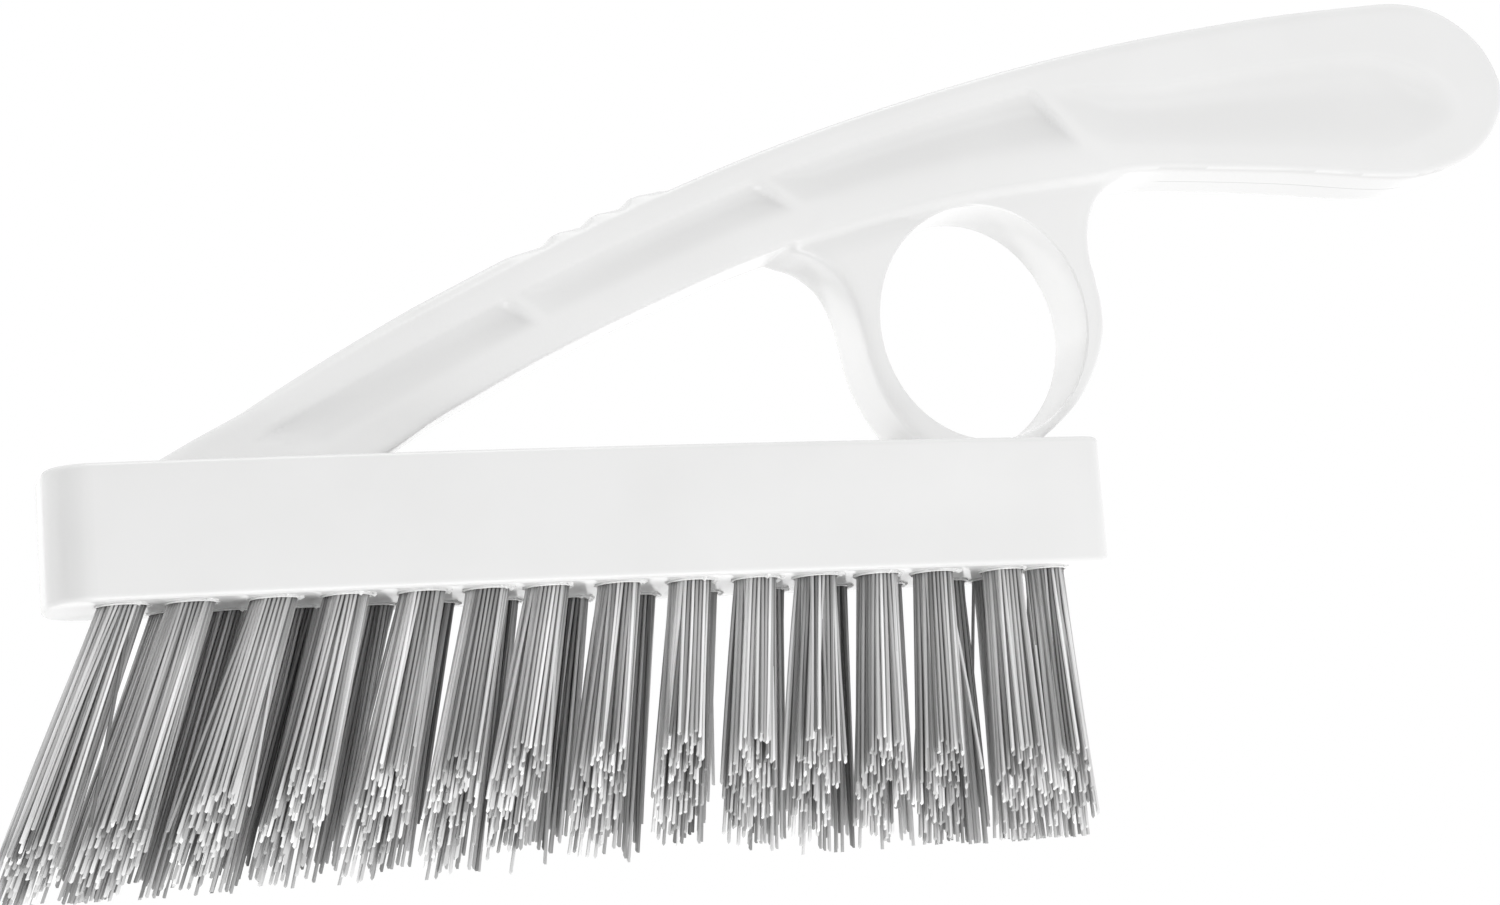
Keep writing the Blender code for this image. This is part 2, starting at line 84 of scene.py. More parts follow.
def corners_of(parts):
    """The vertices among the parts that an operator gives back."""
    return [part for part in parts if isinstance(part, bmesh.types.BMVert)]


def round_edges(bm, edges, radius, steps):
    """Soften the given edges of a solid to a radius."""
    bmesh.ops.bevel(bm, geom=edges, offset=radius, segments=steps, profile=0.5, affect="EDGES", material=-1)


def off_middle(x):
    """How far along the block a place is from its middle, from -1 at the nose to 1 at the heel."""
    return 2 * (x - NOSE_X) / BLOCK_LENGTH - 1


block = bmesh.new()
bmesh.ops.create_grid(block, x_segments=BLOCK_BOW_STEPS, y_segments=1, size=0.5)
bmesh.ops.scale(block, vec=(BLOCK_LENGTH, BLOCK_WIDTH, 1), verts=block.verts)
bmesh.ops.translate(block, vec=(NOSE_X + BLOCK_LENGTH / 2, 0, UNDERSIDE_Z), verts=block.verts)
for corner in block.verts:
    corner.co.y -= math.copysign(BLOCK_BOW * off_middle(corner.co.x) ** 2, corner.co.y)
top = bmesh.ops.extrude_face_region(block, geom=block.faces[:])["geom"]
bmesh.ops.translate(block, vec=(0, 0, BLOCK_HEIGHT), verts=corners_of(top))
bmesh.ops.recalc_face_normals(block, faces=block.faces)
for end_x, radius in ((NOSE_X, NOSE_RADIUS), (NOSE_X + BLOCK_LENGTH, HEEL_RADIUS)):
    uprights = [
        edge
        for edge in block.edges
        if all(abs(corner.co.x - end_x) < SAME_PLACE for corner in edge.verts)
        and abs(edge.verts[0].co.z - edge.verts[1].co.z) > BLOCK_HEIGHT / 2
    ]
    round_edges(block, uprights, radius, CORNER_STEPS)
rims = [
    edge
    for edge in block.edges
    if abs(edge.verts[0].co.z - edge.verts[1].co.z) < SAME_PLACE and edge.calc_face_angle(0) > SHARP_ANGLE
]
round_edges(block, rims, BLOCK_EDGE, EDGE_STEPS)


# The bristle holes are drilled in two staggered rows, each on its own slant, so that the rows fan out from
# the nose to the heel. The drill left a low ragged lip round each mouth, and crumbs of plastic beside it.
HOLE_RADIUS = 0.0030
HOLE_SHOWN_DEPTH = 0.0035
HOLE_STEPS = 32
LIP_RADIUS = 0.00022
LIP_SIDES = 6
LIP_OUTSIDE_SHARE = 0.4
LIP_SUNK_SHARE = 0.3
LIP_RAGGEDNESS = 0.08
CRUMBS = 4
CRUMB_SIZE = 0.00055
CRUMB_SIZES, CRUMB_LENGTHS, CRUMB_HEIGHTS = (0.5, 1), (0.7, 1.6), (0.7, 1.2)
CRUMBS_OFF_HOLE, CRUMBS_AROUND = (0.3, 1.2), (-80, 60)
FIRST_TUFT_FROM_NOSE = 0.01063
TUFT_PITCH = 0.00936
BACK_ROW_LAG = 0.62
ROW_FROM_MIDDLE = 0.006825
ROW_BOW = 0.0030
NOSE_LEAN = math.radians(24.0)
HEEL_LEAN = math.radians(-2.5)
FRONT_DRIFT = (-0.10, -0.14, 0.01, 0.03, 0.12, 0.06, -0.05, 0.02, 0.09, 0.10, 0.05, 0.02, -0.07, 0.07, -0.23)
BACK_DRIFT = (0.13, -0.06, -0.01, 0.03, -0.06, -0.09, -0.01, 0.03, -0.01, 0.05, 0.05, -0.08, -0.07, -0.31)


def tuft_places(drifts, lag, side):
    """Each tuft's place on the underside and its lean towards the nose, along one row."""
    for number, drift in enumerate(drifts):
        x = NOSE_X + FIRST_TUFT_FROM_NOSE + TUFT_PITCH * (number + lag + drift)
        y = side * (ROW_FROM_MIDDLE - ROW_BOW * off_middle(x) ** 2)
        lean = NOSE_LEAN + (HEEL_LEAN - NOSE_LEAN) * (x - NOSE_X) / BLOCK_LENGTH
        yield Vector((x, y, UNDERSIDE_Z)), lean


front_places = list(tuft_places(FRONT_DRIFT, 0, -1))
back_places = list(tuft_places(BACK_DRIFT, BACK_ROW_LAG, 1))
one_lip = bmesh.new()
wire = bmesh.ops.create_circle(one_lip, cap_ends=False, segments=LIP_SIDES, radius=LIP_RADIUS)["verts"]
bmesh.ops.rotate(one_lip, verts=wire, cent=(0, 0, 0), matrix=Matrix.Rotation(math.pi / 2, 3, "X"))
bmesh.ops.translate(one_lip, verts=wire, vec=(HOLE_RADIUS + LIP_RADIUS * LIP_OUTSIDE_SHARE, 0, 0))
bmesh.ops.spin(
    one_lip,
    geom=one_lip.verts[:] + one_lip.edges[:],
    cent=(0, 0, 0),
    axis=(0, 0, 1),
    angle=2 * math.pi,
    steps=HOLE_STEPS,
    use_merge=True,
)
bmesh.ops.recalc_face_normals(one_lip, faces=one_lip.faces)
lip_shape = bpy.data.meshes.new("lip")
one_lip.to_mesh(lip_shape)
one_lip.free()
lips = bmesh.new()
drills = bmesh.new()
burr = random.Random(5)
for place, lean in front_places + back_places:
    first = len(lips.verts)
    lips.from_mesh(lip_shape)
    lips.verts.ensure_lookup_table()
    for corner in lips.verts[first:]:
        ragged = 1 + LIP_RAGGEDNESS * burr.random() * (corner.co.z < 0)
        sunk = corner.co.z - LIP_RADIUS * LIP_SUNK_SHARE
        corner.co = Vector((corner.co.x * ragged / math.cos(lean), corner.co.y * ragged, sunk)) + place
    for _ in range(CRUMBS):
        around = math.radians(burr.uniform(*CRUMBS_AROUND))
        reach = HOLE_RADIUS + burr.uniform(*CRUMBS_OFF_HOLE) * CRUMB_SIZE
        spot = place + Vector((math.cos(around), math.sin(around), 0)) * reach
        size = CRUMB_SIZE * burr.uniform(*CRUMB_SIZES)
        crumb = bmesh.ops.create_icosphere(lips, subdivisions=1, radius=size)["verts"]
        shape = (burr.uniform(*CRUMB_LENGTHS), 1, burr.uniform(*CRUMB_HEIGHTS))
        bmesh.ops.scale(lips, vec=shape, verts=crumb)
        bmesh.ops.rotate(lips, cent=(0, 0, 0), matrix=Matrix.Rotation(around, 3, "Z"), verts=crumb)
        bmesh.ops.translate(lips, vec=spot, verts=crumb)
    bmesh.ops.create_cone(
        drills,
        cap_ends=True,
        segments=HOLE_STEPS,
        radius1=HOLE_RADIUS,
        radius2=HOLE_RADIUS,
        depth=2 * HOLE_SHOWN_DEPTH,
        matrix=Matrix.Translation(place) @ Matrix.Rotation(lean, 4, "Y"),
    )


# The handle is a rounded slab that springs from its foot on the block and rises in one long arch to the grip.
# The outline was taken off the side view as places along and above the block's top.
HANDLE_REACH = 0.2057
HANDLE_RISE = 0.0658
FOOT_X = NOSE_X + 0.0158
HANDLE_THICKNESS = 0.0144
HANDLE_EDGE = 0.0009
HANDLE_STEPS, EDGE_LINE_STEPS = 6, 8
TOP_EDGE = (
    (-0.023, -0.045), (0.090, 0.164), (0.193, 0.334), (0.299, 0.493), (0.416, 0.646), (0.537, 0.773),
    (0.662, 0.877), (0.790, 0.954), (0.889, 0.994),
)
GRIP_END = ((0.926, 1.0), (0.958, 0.974), (0.987, 0.899), (1.0, 0.790), (0.988, 0.694), (0.965, 0.630))
LOW_EDGE = (
    (0.930, 0.593), (0.895, 0.585), (0.825, 0.598), (0.746, 0.604), (0.699, 0.601), (0.629, 0.575),
    (0.552, 0.538), (0.477, 0.480), (0.403, 0.405), (0.330, 0.311), (0.258, 0.209), (0.188, 0.095),
    (0.103, -0.045),
)


def smooth_line(places, steps, closed):
    """Points on a smooth line through the given places."""
    count = len(places)
    line = []
    for number in range(count if closed else count - 1):
        before, start, end, after = (
            places[(number + k) % count] if closed else places[min(max(number + k, 0), count - 1)]
            for k in (-1, 0, 1, 2)
        )
        line += interpolate_bezier(
            start, start + (end - before) / 6, end - (after - start) / 6, end, steps + 1
        )[:-1]
    return line if closed else line + [places[-1]]


def on_handle(shares):
    """Side view places from shares of the handle's reach and rise."""
    return [
        Vector((FOOT_X + HANDLE_REACH * along, 0, BLOCK_TOP_Z + HANDLE_RISE * up)) for along, up in shares
    ]


def stand_slab(bm, outline, thickness, edge, steps):
    """A side view outline made thick across the brush, with its rims rounded."""
    corners = [bm.verts.new((place.x, -thickness / 2, place.z)) for place in outline]
    rim = [bm.edges.new((corner, corners[number - 1])) for number, corner in enumerate(corners)]
    near = bmesh.ops.contextual_create(bm, geom=rim)["faces"]
    far = corners_of(bmesh.ops.extrude_face_region(bm, geom=near)["geom"])
    bmesh.ops.translate(bm, vec=(0, thickness, 0), verts=far)
    sides = {face for corner in corners + far for face in corner.link_faces}
    bmesh.ops.recalc_face_normals(bm, faces=list(sides))
    rims = {
        edge
        for face in sides
        for edge in face.edges
        if abs(edge.verts[0].co.y - edge.verts[1].co.y) < SAME_PLACE and edge.calc_face_angle(0) > SHARP_ANGLE
    }
    round_edges(bm, list(rims), edge, steps)


moulding = bmesh.new()
top_line = smooth_line(on_handle(TOP_EDGE + GRIP_END[:1]), EDGE_LINE_STEPS, False)
low_line = smooth_line(on_handle(LOW_EDGE[::-1]), EDGE_LINE_STEPS, False)
handle_outline = smooth_line(on_handle(TOP_EDGE + GRIP_END + LOW_EDGE), HANDLE_STEPS, True)
stand_slab(moulding, handle_outline, HANDLE_THICKNESS, HANDLE_EDGE, EDGE_STEPS)


# The crown is the thumb rest that stands on the handle's upper edge, a little narrower than the handle. It
# ends in four raked teeth, each of which rises quickly and falls away towards the grip.
CROWN_FROM = 0.030
CROWN_STEP, CROWN_STEPS = 0.0171, 12
CROWN_RISE_STEPS = 8
CROWN_LOW, CROWN_RISE = 0.0004, 0.001
CROWN_HEIGHT = 0.0014
CROWN_DEPTH = 0.0030
CROWN_INSET = 0.0009
CROWN_EDGE, CROWN_EDGE_STEPS = 0.0005, 2
TOOTH_LOW = 0.0004
TOOTH_RISER, TOOTH_TOP, TOOTH_TOP_FALL = 0.10, 0.35, 0.92
TEETH_FROM, TEETH_TO, TEETH = 0.235, 0.346, 4


def height_over(line, x):
    """How high a side view line lies at a place along X."""
    for start, end in zip(line, line[1:]):
        if start.x <= x <= end.x:
            return start.z + (end.z - start.z) * (x - start.x) / (end.x - start.x)
    return line[0].z if x < line[0].x else line[-1].z


crown_profile = [
    (CROWN_FROM + CROWN_STEP * number, CROWN_LOW + CROWN_RISE * min(number / CROWN_RISE_STEPS, 1))
    for number in range(CROWN_STEPS)
]
tooth_share = (TEETH_TO - TEETH_FROM) / TEETH
crown_profile.append((TEETH_FROM, CROWN_HEIGHT))
for tooth in range(TEETH):
    start = TEETH_FROM + tooth_share * tooth
    if tooth:
        crown_profile.append((start + tooth_share * TOOTH_RISER, CROWN_HEIGHT))
        crown_profile.append((start + tooth_share * TOOTH_TOP, CROWN_HEIGHT * TOOTH_TOP_FALL))
    crown_profile.append((start + tooth_share, TOOTH_LOW))
crown_top, crown_foot = [], []
for along, height in crown_profile:
    x = FOOT_X + HANDLE_REACH * along
    crown_top.append(Vector((x, 0, height_over(top_line, x) + height)))
    crown_foot.append(Vector((x, 0, height_over(top_line, x) - CROWN_DEPTH)))
crown_thickness = HANDLE_THICKNESS - 2 * CROWN_INSET
stand_slab(moulding, crown_top + crown_foot[::-1], crown_thickness, CROWN_EDGE, CROWN_EDGE_STEPS)


# The finger ring is an upright oval loop between the block and the handle, thinner than both. It grows into
# the handle with two necks and a hollow fillet under the handle's edge, and its outer edges are rounded.
RING_X = NOSE_X + BLOCK_LENGTH - 0.0148
RING_HOLE_WIDTH = 0.0316
RING_HOLE_HEIGHT = 0.0342
RING_HOLE_LIFT = 0.0004
RING_HALF_WIDTH = 0.0185
RING_HALF_HEIGHT = 0.0201
RING_THICKNESS = 0.0123
RING_EDGE = 0.0010
FILLET_WIDTH = 0.0016
FILLET_HEIGHT = 0.0034
FILLET_STEPS = 6
FILLET_LEAST_SHARE = 0.05
RING_STEPS, FINGER_HOLE_STEPS = 4, 96
HOLE_CHAMFER, CHAMFER_OVERRUN = 0.00025, 4
HOLE_OFF_RING = 0.0003
RING_OUTLINE = (
    (0.165, -0.990), (0.409, -0.834), (0.584, -0.709), (0.764, -0.543), (0.920, -0.296), (0.993, -0.072),
    (0.998, 0.108), (0.968, 0.309), (0.934, 0.489), (0.944, 0.668), (1.002, 0.839), (1.129, 0.978),
    (1.309, 1.076), (1.479, 1.229), (0.798, 1.274), (-0.029, 1.161), (-0.905, 0.937), (-1.732, 0.668),
    (-1.538, 0.538), (-1.343, 0.475), (-1.168, 0.341), (-1.071, 0.152), (-1.022, -0.049), (-0.983, -0.274),
    (-0.895, -0.498), (-0.759, -0.709), (-0.637, -0.843), (-0.467, -0.990),
)
ring_middle = Vector((RING_X, 0, BLOCK_TOP_Z + RING_HOLE_LIFT + RING_HOLE_HEIGHT / 2))
ring_outline = smooth_line(
    [
        ring_middle
        + Vector((across * RING_HALF_WIDTH, 0, up * RING_HALF_HEIGHT))
        for across, up in RING_OUTLINE
    ],
    RING_STEPS,
    True,
)
stand_slab(moulding, ring_outline, RING_THICKNESS, RING_EDGE, EDGE_STEPS)


def room_below(spot):
    """How far the ring reaches straight down from a place on the handle's lower edge."""
    depths = []
    for before, after in zip(ring_outline, ring_outline[1:] + ring_outline[:1]):
        if min(before.x, after.x) <= spot.x < max(before.x, after.x):
            z = before.z + (after.z - before.z) * (spot.x - before.x) / (after.x - before.x)
            if z < spot.z:
                depths.append(spot.z - z)
    return min(depths) if len(depths) % 2 else 0


fillet = bmesh.new()
downs = [step / FILLET_STEPS for step in range(FILLET_STEPS + 1)]
hollow = [(1 - math.sqrt(1 - (1 - down) ** 2), down) for down in downs]
section = [(FILLET_WIDTH, -1)] + [(FILLET_WIDTH * across, down) for across, down in hollow]
section = [(RING_THICKNESS / 2 - RING_EDGE / 2 + across, FILLET_HEIGHT * down) for across, down in section]
section += [(-across, down) for across, down in reversed(section)]
stations = [(spot, min((room_below(spot) - RING_EDGE) / FILLET_HEIGHT, 1)) for spot in low_line]
stations = [(spot, share) for spot, share in stations if share > FILLET_LEAST_SHARE]
(last_spot, last_share), *stations = stations
profile = [(last_spot.x, across, last_spot.z - down * last_share) for across, down in section]
face = fillet.faces.new([fillet.verts.new(corner) for corner in profile])
for spot, share in stations:
    ahead = bmesh.ops.extrude_face_region(fillet, geom=[face, *face.edges])["geom"]
    bmesh.ops.translate(fillet, vec=spot - last_spot, verts=corners_of(ahead))
    grow = (1, 1, share / last_share)
    bmesh.ops.scale(fillet, vec=grow, space=Matrix.Translation(-spot), verts=corners_of(ahead))
    face = next(part for part in ahead if isinstance(part, bmesh.types.BMFace))
    last_spot, last_share = spot, share
bmesh.ops.recalc_face_normals(fillet, faces=fillet.faces)

finger_hole = bmesh.new()
bmesh.ops.create_cone(
    finger_hole,
    cap_ends=True,
    segments=FINGER_HOLE_STEPS,
    radius1=1,
    radius2=1,
    depth=RING_THICKNESS - 2 * HOLE_CHAMFER,
)
bmesh.ops.rotate(
    finger_hole, verts=finger_hole.verts, cent=(0, 0, 0), matrix=Matrix.Rotation(math.pi / 2, 3, "X")
)
bmesh.ops.scale(
    finger_hole, verts=finger_hole.verts, vec=(RING_HOLE_WIDTH / 2, 1, RING_HOLE_HEIGHT / 2)
)
overrun = CHAMFER_OVERRUN * HOLE_CHAMFER
for end in [face for face in finger_hole.faces if len(face.verts) > 4]:
    outward = math.copysign(overrun, end.calc_center_median().y)
    mouth = corners_of(bmesh.ops.extrude_face_region(finger_hole, geom=[end, *end.edges])["geom"])
    bmesh.ops.translate(finger_hole, vec=(0, outward, 0), verts=mouth)
    flare = (1 + 2 * overrun / RING_HOLE_WIDTH, 1, 1 + 2 * overrun / RING_HOLE_HEIGHT)
    bmesh.ops.scale(finger_hole, verts=mouth, vec=flare)
bmesh.ops.translate(finger_hole, verts=finger_hole.verts, vec=ring_middle - Vector((HOLE_OFF_RING, 0, 0)))
bmesh.ops.recalc_face_normals(finger_hole, faces=finger_hole.faces)


# The finished stock: handle, crown and ring are melted into one moulding with small fillets where they meet,
# the scoops are pressed into both faces of the handle, and the drilled block and the finger hole follow. The
# white plastic has faint clouds and specks and a parting line on the grip. Painted shade greys the scoop
# floors, the grip's bottom and a band on the ring under the handle's edge, and painted light brightens the
# block's underside.
VOXEL = 0.00052
MELT, MELT_ROUNDS = 0.5, 4
SMOOTH_UP_TO = math.radians(32)
FACE_SKIN = 0.0006
SCOOP_RIM = 0.0040
GRIP_RIM_TOP = 0.0078
GRIP_RIM_LOW = 0.0032
GRIP_RIM_FROM, GRIP_RIM_RUN = 0.62, 0.10
SCOOP_OFF_BLOCK = 0.0005
SCOOP_DEPTH = 0.0012
SCOOP_START_SHARE, SCOOP_GAIN_SHARE = 0.55, 0.45
RIB_STEEPNESS = 8
PAINTED_SHADE_STEEPNESS = 40
PAINTED_SHADE_UPPER_RUN = 0.0006
PAINTED_SHADE_LOWER_FROM, PAINTED_SHADE_LOWER_RUN = 0.04, 0.30
FLOOR_PAINTED_SHADE = 0.8
END_PAINTED_SHADE, END_PAINTED_SHADE_FROM, END_PAINTED_SHADE_RUN = 0.45, 0.72, 0.26
MOST_PAINTED = 2
FACES_FROM_MIDDLE = 0.005
SIDE_SKIN = 0.0004
BAND_HEIGHT, BAND_RUN, BAND_PAINTED_SHADE = 0.0042, 0.0012, 1.1
BAND_FROM_X, BAND_TO_X = -0.001, 0.058
GRIP_BOTTOM_SKIN = 0.0008
GRIP_PAINTED_SHADE_FROM_X, GRIP_PAINTED_SHADE_RUN = 0.046, 0.015
UNDERSIDE_SKIN = 0.0001
PLASTIC_REFRACTION = 1.49
PLASTIC_ROUGHNESS = (0.16, 0.26)
CLOUD_SCALE, CLOUD_DETAIL = 45, 3
CLOUD_ENDS = (0.35, 0.65)
CLOUD_WHITES = (0.790, 0.790, 0.787, 1), (0.815, 0.815, 0.813, 1)
SPECK_SCALE, SPECK_SIZE, SPECK_COLOUR = 55, 0.011, (0.2, 0.19, 0.18, 1)
PAINTED_LIGHTEST, PAINTED_DARKEST = 1.17, 0.89
GRAIN_SCALE = 1600
SEAM_STARTS_X, SEAM_FULL_X, SEAM_HIDDEN = 0.052, 0.060, 0.001
SEAM_HALF_WIDTH, SEAM_FADE = 0.00006, 0.00026
SEAM_RELIEF, SEAM_GREY = 1.5, 0.72
RELIEF_STRENGTH, RELIEF_HEIGHT = 0.10, 0.0001
# Where each scoop starts and ends along its upper rim, then along its lower one, as shares of the handle's
# reach, how far its end bulges, how wide its end wall is, and how much painted shade its floor gets.
SCOOPS = (
    (0.050, 0.231, 0.085, 0.257, 0, 0.0014, 1),
    (0.235, 0.412, 0.261, 0.443, 0, 0.0014, 1),
    (0.416, 0.623, 0.447, 0.662, 0, 0.0014, 1),
    (0.628, 0.905, 0.668, 0.905, 0.06, 0.0080, 0.30),
)


def draft(bm, name):
    """A working object from a bmesh."""
    holder = bpy.data.objects.new(name, bpy.data.meshes.new(name))
    bm.to_mesh(holder.data)
    bm.free()
    bpy.context.scene.collection.objects.link(holder)
    return holder


def worked(holder, *steps):
    """The mesh of a working object after the given modifiers, which also use up their tools."""
    for kind, settings in steps:
        modifier = holder.modifiers.new(kind, kind)
        for setting, value in settings.items():
            setattr(modifier, setting, value)
    mesh = bpy.data.meshes.new_from_object(holder.evaluated_get(bpy.context.evaluated_depsgraph_get()))
    for _, settings in steps:
        if "object" in settings:
            bpy.data.objects.remove(settings["object"])
    bpy.data.objects.remove(holder)
    return mesh


def boolean(tool, operation, touching=False):
    """A Boolean step with a tool, whose own parts may touch each other."""
    return "BOOLEAN", {"operation": operation, "object": tool, "solver": "EXACT", "use_self": touching}


def shown(mesh, name):
    """A new object in the scene with the given mesh."""
    holder = bpy.data.objects.new(name, mesh)
    bpy.context.scene.collection.objects.link(holder)
    return holder


def piece_from(mesh, name, materials, slot, *nodes):
    """A finished piece that rides on the brush and stands for its CAD nodes."""
    piece = shown(mesh, name)
    piece.data.materials.clear()
    for material in materials:
        piece.data.materials.append(material)
    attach(piece, "root")
    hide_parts(*nodes)


def ease(t):
    """A smooth step from 0 to 1."""
    t = min(max(t, 0), 1)
    return t * t * (3 - 2 * t)


def scoop_at(x, z):
    """How deep a scoop is pressed in at a side view place, and how much shade is painted on its floor there.
    """
    along = (x - FOOT_X) / HANDLE_REACH
    grip = min(max((along - GRIP_RIM_FROM) / GRIP_RIM_RUN, 0), 1)
    upper_z = height_over(top_line, x) - SCOOP_RIM - (GRIP_RIM_TOP - SCOOP_RIM) * grip
    lower_z = height_over(low_line, x) + SCOOP_RIM + (GRIP_RIM_LOW - SCOOP_RIM) * grip
    lower_z = max(lower_z, BLOCK_TOP_Z + SCOOP_OFF_BLOCK)
    across = (z - lower_z) / (upper_z - lower_z) if upper_z > lower_z else 0
    if not 0 < across < 1:
        return 0, 0
    # The hollow is deepest two thirds of the way up, where this comes to 1.
    hollow = 27 / 4 * (1 - across) * across**2
    # Painted shade on the floor: it starts just under the upper rim and fades out towards the lower rim.
    shade_mask = ease((1 - across) * (upper_z - lower_z) / PAINTED_SHADE_UPPER_RUN)
    shade_mask *= ease((across - PAINTED_SHADE_LOWER_FROM) / PAINTED_SHADE_LOWER_RUN)
    depth, grey = 0, 0
    for upper_start, upper_end, lower_start, lower_end, bulge, wall_width, floor_painted_shade in SCOOPS:
        start = lower_start + (upper_start - lower_start) * across
        end = lower_end + (upper_end - lower_end) * across + bulge * (1 - (2 * across - 1) ** 2)
        ramp = (along - start) / (end - start)
        end_wall = ease((end - along) * HANDLE_REACH / wall_width)
        if ramp > 0 and end_wall > 0:
            slope = SCOOP_START_SHARE + SCOOP_GAIN_SHARE * ramp
            depth = ease(ramp * RIB_STEEPNESS) * slope * end_wall * hollow
            # Painted shade darkens the deep end of each scoop, except on the grip.
            end_painted_shade = 0 if bulge else END_PAINTED_SHADE * ease((ramp - END_PAINTED_SHADE_FROM) / END_PAINTED_SHADE_RUN)
            grey = ease(ramp * PAINTED_SHADE_STEEPNESS) * (FLOOR_PAINTED_SHADE + end_painted_shade) * end_wall * shade_mask * floor_painted_shade
    return depth * SCOOP_DEPTH, grey


def painted_light_and_shade_at(x, y, z):
    """How much light or shade is painted into the plastic at a place on the stock: painted light on the
    underside, painted shade under the grip, in the band below the handle's edge and on the scoop floors.
    """
    # Painted light: the block's underside is painted lighter than the rest of the plastic.
    if z < UNDERSIDE_Z + UNDERSIDE_SKIN:
        return -MOST_PAINTED
    below = height_over(low_line, x) - z
    # Painted shade on the handle's bottom face in its upper half, growing towards the grip.
    on_bottom = below > -GRIP_BOTTOM_SKIN and z > BLOCK_TOP_Z + HANDLE_RISE / 2
    if on_bottom and abs(y) < HANDLE_THICKNESS / 2 - SIDE_SKIN:
        return MOST_PAINTED * ease((x - GRIP_PAINTED_SHADE_FROM_X) / GRIP_PAINTED_SHADE_RUN)
    # Painted shade in a band on the ring's faces just under the handle's lower edge, darkest near the edge.
    in_painted_shade_band = 0 < below < BAND_HEIGHT and BAND_FROM_X < x < BAND_TO_X
    if in_painted_shade_band and abs(y) > RING_THICKNESS / 2 - SIDE_SKIN:
        return ease(below / BAND_RUN) * (BAND_PAINTED_SHADE - below / BAND_HEIGHT)
    return scoop_at(x, z)[1] if abs(y) > FACES_FROM_MIDDLE else 0


def new_material(name):
    """A material, its node tree and its skin."""
    material = bpy.data.materials.new(name)
    material.use_nodes = True
    return material, material.node_tree, material.node_tree.nodes["Principled BSDF"]


def feed(tree, node, inputs):
    """Set a node's inputs to plain values or to the outputs of other nodes."""
    for name, value in inputs.items():
        if isinstance(value, bpy.types.NodeSocket):
            tree.links.new(value, node.inputs[name])
        else:
            node.inputs[name].default_value = value


def outputs_of(tree, kind, inputs, **settings):
    """The outputs of a new node with the given inputs and settings."""
    node = tree.nodes.new(kind)
    for setting, value in settings.items():
        setattr(node, setting, value)
    feed(tree, node, inputs)
    return node.outputs


def own_value(tree, attribute):
    """A number that the piece carries on its own mesh."""
    return outputs_of(tree, "ShaderNodeAttribute", {}, attribute_name=attribute)["Fac"]


def ranged(tree, value, low, high, at_low, at_high):
    """A number that runs from one end to the other while a value runs from low to high."""
    ends = {"From Min": low, "From Max": high, "To Min": at_low, "To Max": at_high}
    return outputs_of(tree, "ShaderNodeMapRange", {"Value": value, **ends})["Result"]


def added(tree, first, second):
    """The sum of two numbers."""
    return outputs_of(tree, "ShaderNodeMath", {0: first, 1: second}, operation="ADD")["Value"]


def multiplied(tree, first, second):
    """The product of two numbers."""
    return outputs_of(tree, "ShaderNodeMath", {0: first, 1: second}, operation="MULTIPLY")["Value"]


moulding.from_mesh(worked(draft(fillet, "fillet")))
melted = worked(
    draft(moulding, "moulding"),
    ("REMESH", {"mode": "VOXEL", "voxel_size": VOXEL}),
    ("SMOOTH", {"factor": MELT, "iterations": MELT_ROUNDS}),
)
for corner in melted.vertices:
    if abs(corner.co.y) > HANDLE_THICKNESS / 2 - FACE_SKIN:
        corner.co.y -= math.copysign(scoop_at(corner.co.x, corner.co.z)[0], corner.co.y)
drilled = worked(
    draft(block, "block"),
    boolean(draft(lips, "lips"), "UNION", touching=True),
    boolean(draft(drills, "drills"), "DIFFERENCE"),
)
stock_mesh = worked(
    shown(melted, "handle_and_ring"),
    boolean(shown(drilled, "drilled_block"), "UNION"),
    boolean(draft(finger_hole, "finger_hole"), "DIFFERENCE"),
)
stock_mesh.shade_smooth()
stock_mesh.set_sharp_from_angle(angle=SMOOTH_UP_TO)
# Each vertex carries the light or shade painted into the plastic there.
painted_tones = [painted_light_and_shade_at(*corner.co) for corner in stock_mesh.vertices]
stock_mesh.attributes.new("painted_light_and_shade", "FLOAT", "POINT").data.foreach_set("value", painted_tones)

white_plastic, tree, skin = new_material("stock_white_plastic")
place = outputs_of(tree, "ShaderNodeTexCoord", {})["Object"]
clouds = outputs_of(
    tree, "ShaderNodeTexNoise", {"Vector": place, "Scale": CLOUD_SCALE, "Detail": CLOUD_DETAIL}
)["Fac"]
cloudy = tree.nodes.new("ShaderNodeValToRGB")
for end, position, white in zip(cloudy.color_ramp.elements, CLOUD_ENDS, CLOUD_WHITES):
    end.position, end.color = position, white
feed(tree, cloudy, {"Fac": clouds})
to_speck = outputs_of(tree, "ShaderNodeTexVoronoi", {"Vector": place, "Scale": SPECK_SCALE})["Distance"]
is_speck = outputs_of(tree, "ShaderNodeMath", {0: to_speck, 1: SPECK_SIZE}, operation="LESS_THAN")["Value"]
spotted = outputs_of(
    tree, "ShaderNodeMixRGB", {"Fac": is_speck, "Color1": cloudy.outputs["Color"], "Color2": SPECK_COLOUR}
)["Color"]
axes = outputs_of(tree, "ShaderNodeSeparateXYZ", {"Vector": place})
off_middle_plane = outputs_of(tree, "ShaderNodeMath", {0: axes["Y"]}, operation="ABSOLUTE")["Value"]
before_grip = ranged(tree, axes["X"], SEAM_STARTS_X, SEAM_FULL_X, SEAM_HIDDEN, 0)
off_line = added(tree, off_middle_plane, before_grip)
parting = ranged(tree, off_line, SEAM_HALF_WIDTH, SEAM_FADE, 0, SEAM_RELIEF)
seam_grey = ranged(tree, parting, 0, SEAM_RELIEF, SEAM_GREY, 1)
